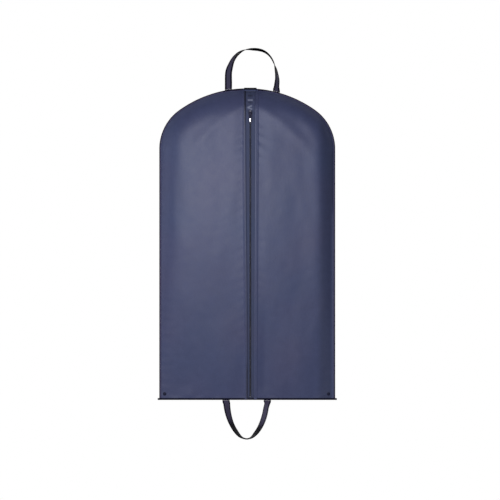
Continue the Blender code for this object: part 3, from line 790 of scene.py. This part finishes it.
def zip_front(z):
    """y of the front cloth's inner face on the zip line."""
    return -front_depth(0.0, z)


def tape_tuck(x, z):
    """The tape's creases above the slider, from 0 to 1: a bar across it and a bent tuck below."""
    bar = smooth((0.0098 - abs(x)) / 0.002) * bump(z, -0.0432, 0.0028)
    tip = Vector((-0.0076, -0.0690))
    here = Vector((x, z))
    near = 1.0
    for end in (Vector((0.0032, -0.0638)), Vector((0.0040, -0.0748))):
        arm = end - tip
        part = clamp((here - tip).dot(arm) / arm.length_squared)
        near = min(near, (here - tip - arm * part).length)
    return max(bar, bump(near, 0.0, 0.0027))


def tape_surface(x, z):
    """y of the middle of the zip tape, just behind the cloth's edges."""
    pucker = 0.00035 * bump(z, -0.055, 0.035) + 0.00012
    ripple = pucker * math.sin(2.0 * math.pi * (z + 0.004 * waver(x, z, 0.02, 61.0)) / 0.021)
    fade = smooth((abs(x) - 0.0035) / 0.004) * smooth((hem_at(side_of(x), z) - abs(x)) / 0.003)
    return 0.0008 - front_depth(x, z) + ripple * fade - 0.0007 * tape_tuck(x, z)


def tape_shade(x, z):
    # Painted shade: a little over the whole tape, more in the hollows between the creases above the slider
    # and below the slider; painted highlights on the creases themselves.
    tucked = tape_tuck(x, z)
    hollow = max(bump(z, -0.0275, 0.0050), bump(z, -0.0515, 0.0040), bump(z, -0.0830, 0.0050))
    hollow *= 0.36 * smooth((0.0100 - abs(x)) / 0.003)
    under = 0.09 * smooth((-0.10 - z) / 0.05)
    return 0.04 + max(hollow, under) * (1.0 - tucked) - 1.5 * tucked


TAPE_STEPS = (
    0.0006, 0.0016, 0.0028, 0.0040, 0.0053, 0.0066, 0.0080, 0.0095, 0.0110, 0.0125, 0.0140, 0.0152, 0.0165,
    0.0180, 0.0199,
)
TAPE_FINE = 0.0012


def make_tapes():
    for name, side in SIDES:
        low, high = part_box(f"zip_tape_{name}_lower")[0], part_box(f"zip_tape_{name}_upper")[1]
        heights = [high.z - TAPE_FINE * i for i in range(int((high.z + 0.086) / TAPE_FINE))]
        count = round((heights[-1] - low.z) / 0.004)
        heights += [mix(heights[-1], low.z, i / count) for i in range(1, count + 1)]
        rows = []
        for z in reversed(heights):
            inner = mix(0.00012, TAPE_STEPS[0], smooth((-0.078 - z) / 0.006))
            places = [side * x for x in (inner, *TAPE_STEPS[1:])]
            rows.append([Vector((x, tape_surface(x, z), z)) for x in places])
        tape = grid_piece(f"zip_tape_{name}", rows, flip=side < 0)
        thicken(tape, 0.0006)
        shade(tape, tape_shade)
        dress(tape, TAPE_FINISH)
        across_fold(tape)
        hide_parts(f"zip_tape_{name}_upper", f"zip_tape_{name}_lower")


COIL_PITCH = 0.0022
COIL_STEPS = 10
WIRE = 0.00046


def make_coils():
    """Each coil is a flattened spiral of nylon; the two sides' loops lie between each other."""
    turns = int((COIL_TOP_Z - COIL_BOTTOM_Z) / COIL_PITCH) - 1
    up = Vector((0.0, 0.0, 1.0))
    for name, side in SIDES:
        shift = 0.0 if side < 0 else COIL_PITCH / 2
        rows = []
        for i in range(turns * COIL_STEPS + 1):
            turn = 2.0 * math.pi * i / COIL_STEPS
            z = COIL_BOTTOM_Z + 0.0006 + shift + COIL_PITCH * i / COIL_STEPS
            y = zip_front(z) - 0.00085 - 0.00075 * math.sin(turn)
            centre = Vector((side * (0.0012 - 0.00155 * math.cos(turn)), y, z))
            out = Vector((-side * math.cos(turn) * 0.6, -math.sin(turn), 0.0)).normalized()
            angles = [2.0 * math.pi * k / 5 for k in range(5)]
            rows.append([centre + (out * math.cos(angle) + up * math.sin(angle)) * WIRE for angle in angles])
        coil = grid_piece(f"zip_coil_{name}", rows, closed=True)
        dress(coil, COIL_FINISH)
        across_fold(coil)
        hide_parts(f"zip_coil_{name}_upper", f"zip_coil_{name}_lower")


# ---------------- stitches


def stitch_row(name, places, body, material=THREAD_FINISH, length=0.0030, width=0.00032):
    """A row of stitches as one piece. places holds (point, direction, outward)."""
    work = bmesh.new()
    profile = ((-0.5, 0.0, -0.9), (-0.38, 0.8, 0.2), (0.0, 1.0, 0.55), (0.38, 0.8, 0.2), (0.5, 0.0, -0.9))
    for point, along, out in places:
        beside = along.cross(out).normalized()
        rings = []
        for position, size, rise in profile:
            centre = point + along * (position * length) + out * (rise * width)
            if size == 0.0:
                rings.append([work.verts.new(centre)])
                continue
            ring = []
            for k in range(6):
                angle = math.pi * k / 3
                spoke = beside * math.cos(angle) + out * math.sin(angle)
                ring.append(work.verts.new(centre + spoke * width * size))
            rings.append(ring)
        for one, other in zip(rings, rings[1:]):
            for k in range(6):
                after = (k + 1) % 6
                turned = [(one, k), (one, after), (other, after), (other, k)]
                corners = [ring[place % len(ring)] for ring, place in turned]
                face = work.faces.new(list(dict.fromkeys(corners)))
                face.smooth = True
    bmesh.ops.recalc_face_normals(work, faces=work.faces)
    piece = piece_from(name, work)
    dress(piece, material)
    if body == "fold":
        across_fold(piece)
    else:
        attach(piece, body)


EDGE_STITCH = 0.0046
EDGE_STITCH_OUT = 0.0021
EDGE_PITCH = 0.0042
HEM_PITCH = 0.0040
HEM_ROW_TOP = -0.0150


def edge_stitches():
    """The row that holds the binding down, on the front and on the back."""
    low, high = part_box("bottom_binding")
    for face, sign in (("front", -1), ("back", 1)):
        out = Vector((0.0, sign, 0.0))
        for name, side in SIDES:
            start = past_slot(side, 0.002) + 0.002
            places = []
            for i in range(int((EDGE_LENGTH - start - 0.012) / EDGE_PITCH)):
                length = start + EDGE_PITCH * i
                angle = edge_at(length)[2]
                across, up = inside_edge(length, EDGE_STITCH)
                point = Vector((MIDDLE_X + side * across, sign * EDGE_STITCH_OUT, up))
                places.append((point, Vector((side * math.cos(angle), 0.0, -math.sin(angle))), out))
            stitch_row(f"binding_stitches_{face}_{name}", places, "fold")
        count = int((high.x - low.x - 0.016) / EDGE_PITCH)
        first = Vector((low.x + 0.008, sign * EDGE_STITCH_OUT, low.z + EDGE_STITCH))
        along = Vector((1.0, 0.0, 0.0))
        places = [(first + along * EDGE_PITCH * i, along, out) for i in range(count + 1)]
        stitch_row(f"binding_stitches_{face}_bottom", places, "lower_half", DARK_THREAD_FINISH)


def hem_stitches():
    """The row down each hem beside the zip."""
    for name, side in SIDES:
        places = []
        for i in range(int((HEM_ROW_TOP - BOTTOM_Z - 0.010) / HEM_PITCH)):
            z = HEM_ROW_TOP - HEM_PITCH * i
            x = side * (hem_at(side, z) + HEM_STITCH)
            here, there = front_surface(x, z + 0.002), front_surface(x, z - 0.002)
            along = Vector((0.0, there - here, -0.004)).normalized()
            out = along.cross(Vector((1.0, 0.0, 0.0))).normalized()
            if out.y > 0:
                out = -out
            point = Vector((x, front_surface(x, z) - CLOTH / 2, z))
            places.append((point, along, out))
        stitch_row(f"zip_hem_stitches_{name}", places, "fold")


# ---------------- handles

# dark and light are the shares of each loop that carry painted shade and a painted highlight.
TOP_HANDLE = {
    "left": -0.0753,
    "right": 0.0900,
    "rise": 0.1422,
    "power": 2.7,
    "dark": (0.21, 0.93),
    "light": (1.0, 1.0),
    "edge": 0.52,
}
BOTTOM_HANDLE = {
    "left": -0.0838,
    "right": 0.0590,
    "rise": -0.1330,
    "power": 1.85,
    "dark": (0.14, 0.80),
    "light": (0.79, 0.975),
    "edge": 0.64,
}
TOP_TWIST = (
    (0.0, 0.0), (0.05, 8.0), (0.12, 23.0), (0.18, 44.5), (0.26, 57.5), (0.35, 68.0), (0.462, 90.0),
    (0.51, 101.0), (0.60, 99.0), (0.70, 93.5), (0.80, 90.0), (0.848, 74.0), (0.905, 62.0), (0.96, 47.0),
    (0.985, 38.0), (1.0, 0.0),
)
BOTTOM_TWIST = (
    (0.0, 0.0), (0.004, 0.0), (0.009, 3.0), (0.022, 12.0), (0.05, 23.0), (0.13, 38.0), (0.22, 53.0),
    (0.34, 67.0), (0.42, 85.0), (0.455, 90.0), (0.54, 90.0), (0.575, 84.0), (0.66, 64.0), (0.74, 54.0),
    (0.82, 47.0), (0.90, 44.0), (0.965, 42.0), (0.983, 16.0), (0.991, 3.0), (0.996, 0.0), (1.0, 0.0),
)
STRAP_HALF = 0.0125
STRAP_THICK = 0.0021
ROOT_THICK = 0.0005
STUB_THICK = 0.0009
ROOT_GAP = 0.0016
STUB_GAPS = (0.00155, 0.0010, 0.00034)
STRAP_STITCH = 0.7475
STRAP_PITCH = 0.0040
STRAP_STEPS = 150
SQUARE = Vector((0.0, 1.0, 0.0))


def keyed(keys, share):
    """A smooth value at a share, through keys of (share, value)."""
    places = [key[0] for key in keys]
    values = [key[1] for key in keys]
    k = max(i for i in range(len(keys) - 1) if places[i] <= share or i == 0)

    def slope(i):
        if i == 0 or i == len(keys) - 1:
            j = min(i, len(keys) - 2)
            return (values[j + 1] - values[j]) / (places[j + 1] - places[j])
        return (values[i + 1] - values[i - 1]) / (places[i + 1] - places[i - 1])

    width = places[k + 1] - places[k]
    t = clamp((share - places[k]) / width)
    h00, h10 = 2 * t**3 - 3 * t**2 + 1, t**3 - 2 * t**2 + t
    h01, h11 = -2 * t**3 + 3 * t**2, t**3 - t**2
    return h00 * values[k] + h10 * width * slope(k) + h01 * values[k + 1] + h11 * width * slope(k + 1)


def handle_root(handle, name):
    x = handle[name]
    if handle["rise"] > 0:
        up = math.sqrt(TOP_RADIUS**2 - (x - MIDDLE_X) ** 2)
        along = Vector((1.0, 0.0, -(x - MIDDLE_X) / up)).normalized()
        off = Vector((-along.z, 0.0, along.x))
        return Vector((x, 0.0, up - TOP_RADIUS)) + off * ROOT_GAP, along
    return Vector((x, 0.0, BOTTOM_Z - ROOT_GAP)), Vector((1.0, 0.0, 0.0))


def lean(handle, share):
    """The top loop leans a little to the right and its left leg bows out. Both lower legs bow in."""
    if handle["rise"] < 0:
        left = 0.0021 * smooth((share - 0.006) / 0.03) * smooth((0.42 - share) / 0.12)
        return left - 0.0028 * smooth((share - 0.55) / 0.12) * smooth((0.985 - share) / 0.07)
    bow = bump(share, 0.10, 0.05) * smooth(share / 0.05)
    return 0.0040 * smooth((share - 0.18) / 0.18) * smooth((1.0 - share) / 0.07) - 0.0022 * bow


def handle_point(handle, share):
    left, right = handle_root(handle, "left")[0], handle_root(handle, "right")[0]
    share = clamp(share)
    turn = math.pi * share
    power = 2.0 / handle["power"]
    across = -math.copysign(abs(math.cos(turn)) ** power, math.cos(turn))
    base = left.lerp(right, (1.0 + across) / 2.0)
    return base + Vector((lean(handle, share), 0.0, handle["rise"] * abs(math.sin(turn)) ** power))


def handle_frame(handle, twists, share):
    """A strap's middle, width direction, outward direction and run at a share of its length."""
    middle = handle_point(handle, share)
    step = 0.004
    along = (handle_point(handle, share + step) - handle_point(handle, share - step)).normalized()
    in_plane = SQUARE.cross(along)
    for name, near in (("left", share), ("right", 1.0 - share)):
        if near < 0.02:
            edge = handle_root(handle, name)[1]
            edge = edge * math.copysign(1.0, edge.dot(in_plane))
            in_plane = edge.lerp(in_plane, smooth(near / 0.02)).normalized()
    twist = math.radians(keyed(twists, share))
    wide = in_plane * math.cos(twist) - SQUARE * math.sin(twist)
    return middle, wide, along.cross(wide).normalized(), along


STRAP_PROFILE = (
    (-1.0, 0.0), (-0.985, 0.62), (-0.945, 1.0), (-0.80, 1.04), (-0.765, 0.72), (-0.73, 0.72), (-0.695, 1.05),
    (-0.64, 1.06), (-0.52, 1.07), (-0.35, 1.10), (0.0, 1.12), (0.35, 1.10), (0.52, 1.07), (0.64, 1.06),
    (0.695, 1.05), (0.73, 0.72), (0.765, 0.72), (0.80, 1.04), (0.945, 1.0), (0.985, 0.62), (1.0, 0.0),
)


def strap_ring(thick):
    """A strap's whole section as (across, out): a slightly crowned face, then the same face behind."""
    face = [(a, h * thick / 2) for a, h in STRAP_PROFILE]
    return face + [(a, -h) for a, h in reversed(face[1:-1])]


def weave_strap(piece, lengths, edge, far):
    """Gives a strap its cut map, its dark edges and, if far is true, painted shade on its far face."""
    across = [a * STRAP_HALF for a, _ in strap_ring(STRAP_THICK)]
    put_uv(piece, across, lengths)
    dress(piece, STRAP_FINISH, EDGE_AND_FAR_SHADE_FINISH)
    for face in piece.data.polygons:
        columns = [v % len(across) for v in face.vertices]
        middle = sum(across[k] for k in columns) / len(columns)
        if abs(middle) > edge * STRAP_HALF or (far and max(columns) < len(STRAP_PROFILE)):
            face.material_index = 1


def strap_thickness(share):
    """The strap thins toward its two sewn ends."""
    return mix(ROOT_THICK, STRAP_THICK, smooth(min(share, 1.0 - share) / 0.03))


def handle_shares():
    """Shares of a loop's length, closer together near the ends."""
    shares = []
    for i in range(STRAP_STEPS + 1):
        turned = math.cos(math.pi * i / STRAP_STEPS)
        shares.append(0.5 - 0.5 * turned * (0.6 + 0.4 * abs(turned)))
    return shares


def make_handle(label, handle, twists):
    shares = handle_shares()
    rows, middles = [], []
    for share in shares:
        middle, wide, out, _ = handle_frame(handle, twists, share)
        ring = strap_ring(strap_thickness(share))
        rows.append([middle + wide * a * STRAP_HALF + out * h for a, h in ring])
        middles.append(middle)
    piece = grid_piece(f"{label}_handle", rows, closed=True)
    reached = lengths_of(middles)
    weave_strap(piece, reached, handle["edge"], far=True)
    layer = piece.data.attributes.new("painted_shade_and_highlight", "FLOAT", "POINT")
    # Painted shade on the loop between the dark shares, and a painted highlight between the light shares.
    start, end = handle["dark"]
    light_start, light_end = handle["light"]
    for vertex in piece.data.vertices:
        share = shares[vertex.index // len(rows[0])]
        dark = 0.93 * smooth((share - start) / 0.10) * smooth((end - share) / 0.08)
        light = 0.16 * smooth((share - light_start) / 0.05) * smooth((light_end - share) / 0.03)
        layer.data[vertex.index].value = dark - light
    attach(piece, f"{label}_handle")
    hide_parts(f"{label}_handle_strap")
    handle_stitches(label, handle, twists, shares, reached)
    for name, _ in SIDES:
        strap_root(label, handle, name)


def handle_stitches(label, handle, twists, shares, reached):
    """A row along each edge of the strap, on both of its faces."""
    for row_name, offset in (("inner", -STRAP_STITCH), ("outer", STRAP_STITCH)):
        for face, sign in (("front", 1.0), ("back", -1.0)):
            places = []
            reach, i = 0.004, 0
            while reach < reached[-1] - 0.004:
                while reached[i + 1] < reach:
                    i += 1
                part = (reach - reached[i]) / (reached[i + 1] - reached[i])
                share = mix(shares[i], shares[i + 1], part)
                middle, wide, out, along = handle_frame(handle, twists, share)
                point = middle + wide * offset * STRAP_HALF + out * sign * 0.38 * strap_thickness(share)
                places.append((point, along, out * sign))
                reach += STRAP_PITCH
            name = f"{label}_handle_stitches_{row_name}_{face}"
            stitch_row(name, places, f"{label}_handle", DARK_THREAD_FINISH, width=0.00026)


def strap_root(label, handle, name):
    """The short stretch of webbing between the edge seam and the point where the loop bends."""
    top, along = handle_root(handle, name)
    off = Vector((-along.z, 0.0, along.x)) * math.copysign(1.0, handle["rise"])
    rows = []
    for gap in STUB_GAPS:
        middle = top - off * gap
        rows.append([middle + along * a * STRAP_HALF + SQUARE * h for a, h in strap_ring(STUB_THICK)])
    root = grid_piece(f"{label}_handle_root_{name}", rows, closed=True)
    turn_outward(root)
    weave_strap(root, (0.0, 0.0008, 0.0016), handle["edge"], far=False)
    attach(root, "upper_half" if label == "top" else "lower_half")


# ---------------- slider, studs and other small pieces


def bevelled(node, width):
    """A carried-over CAD piece with its edges broken."""
    edge = frame["nodes"][node].modifiers.new("edges", "BEVEL")
    edge.width = width
    edge.segments = 2
    edge.limit_method = "ANGLE"


def carried_over():
    finishes = {
        "zip_slider_body": SLIDER_FINISH,
        "zip_slider_back_plate": STEEL_FINISH,
        "zip_pull_tab": TAB_FINISH,
        "zip_top_stop": STEEL_FINISH,
        "zip_bottom_stop": STEEL_FINISH,
        "hook_slot_facing": SLOT_FINISH,
    }
    for name, _ in SIDES:
        finishes[f"stud_ring_{name}"] = STEEL_FINISH
        finishes[f"stud_cap_{name}"] = STUD_FINISH
        for label in ("top", "bottom"):
            finishes[f"{label}_handle_sewn_end_{name}"] = SEWN_FINISH
    for node, finish in finishes.items():
        dress(frame["nodes"][node], finish)
    bevelled("zip_slider_body", 0.00035)
    bevelled("zip_pull_tab", 0.00030)
    bevelled("hook_slot_facing", 0.0006)


# ---------------- stage, light and camera

FRAME_WIDTH = 1.728
FRAME_CENTRE = Vector((-0.0010, 0.0, -0.5588))
CAMERA_AWAY = 5.0
FLOOR_Z = -1.95
WHITE = (1.0, 1.0, 1.0, 1.0)


def make_camera():
    data = bpy.data.cameras.new("camera")
    data.sensor_width = 36.0
    data.lens = data.sensor_width * CAMERA_AWAY / FRAME_WIDTH
    data.clip_end = 100.0
    camera = bpy.data.objects.new("camera", data)
    bpy.context.scene.collection.objects.link(camera)
    camera.location = FRAME_CENTRE + Vector((0.0, -CAMERA_AWAY, 0.0))
    camera.rotation_euler = (math.pi / 2, 0.0, 0.0)
    bpy.context.scene.camera = camera


def make_floor():
    work = bmesh.new()
    bmesh.ops.create_circle(work, cap_ends=True, segments=96, radius=2.9)
    floor = piece_from("floor", work)
    floor.location = (0.0, 0.0, FLOOR_Z)
    material, nodes, shader, place = new_material("pale_floor")
    tone = nodes.scaled(nodes.noise(place, 6.0, 3.0), 0.93, 0.97)
    set_shader(
        nodes,
        shader,
        Base_Color=nodes.scale((0.92, 0.92, 0.92), tone),
        Roughness=0.8,
        Emission_Color=WHITE,
        Emission_Strength=0.45,
    )
    dress(floor, material)


def add_softbox(name, place, target, size, power):
    data = bpy.data.lights.new(name, "AREA")
    data.shape = "RECTANGLE"
    data.size, data.size_y = size
    data.energy = power
    light = bpy.data.objects.new(name, data)
    bpy.context.scene.collection.objects.link(light)
    light.location = place
    light.rotation_euler = (Vector(target) - Vector(place)).to_track_quat("-Z", "Y").to_euler()
    light.visible_camera = False


def make_lights():
    add_softbox("key", (-0.24, -1.7, -0.28), (-0.10, 0.0, -0.34), (0.60, 0.62), 20.8)
    add_softbox("left_fill", (-2.6, -1.4, -0.4), (0.0, 0.0, -0.5), (1.2, 2.0), 18.0)
    add_softbox("back_left", (-1.8, 2.6, 0.6), (0.0, 0.0, -0.5), (1.6, 2.0), 40.0)
    add_softbox("back_right", (2.4, 2.0, 0.2), (0.0, 0.0, -0.5), (1.4, 2.0), 26.0)
    world = bpy.data.worlds.new("studio")
    bpy.context.scene.world = world
    world.use_nodes = True
    nodes = Nodes(world.node_tree)
    output = world.node_tree.nodes["World Output"]
    seen = world.node_tree.nodes["Background"]
    nodes.feed(seen.inputs["Color"], WHITE)
    nodes.feed(seen.inputs["Strength"], 1.0)
    lighting = nodes.add("ShaderNodeBackground", {"Color": WHITE, "Strength": 0.30})
    ray = nodes.add("ShaderNodeLightPath").outputs["Is Camera Ray"]
    chosen = nodes.add("ShaderNodeMixShader", {0: ray, 1: lighting.outputs[0], 2: seen.outputs[0]})
    nodes.feed(output.inputs["Surface"], chosen.outputs[0])
    settings = bpy.context.scene.view_settings
    settings.view_transform = "Standard"
    settings.look = "None"


# ---------------- the whole scene

make_camera()
make_front_panels()
make_back_panel()
make_bindings()
make_tapes()
make_coils()
edge_stitches()
hem_stitches()
make_handle("top", TOP_HANDLE, TOP_TWIST)
make_handle("bottom", BOTTOM_HANDLE, BOTTOM_TWIST)
carried_over()
make_floor()
make_lights()
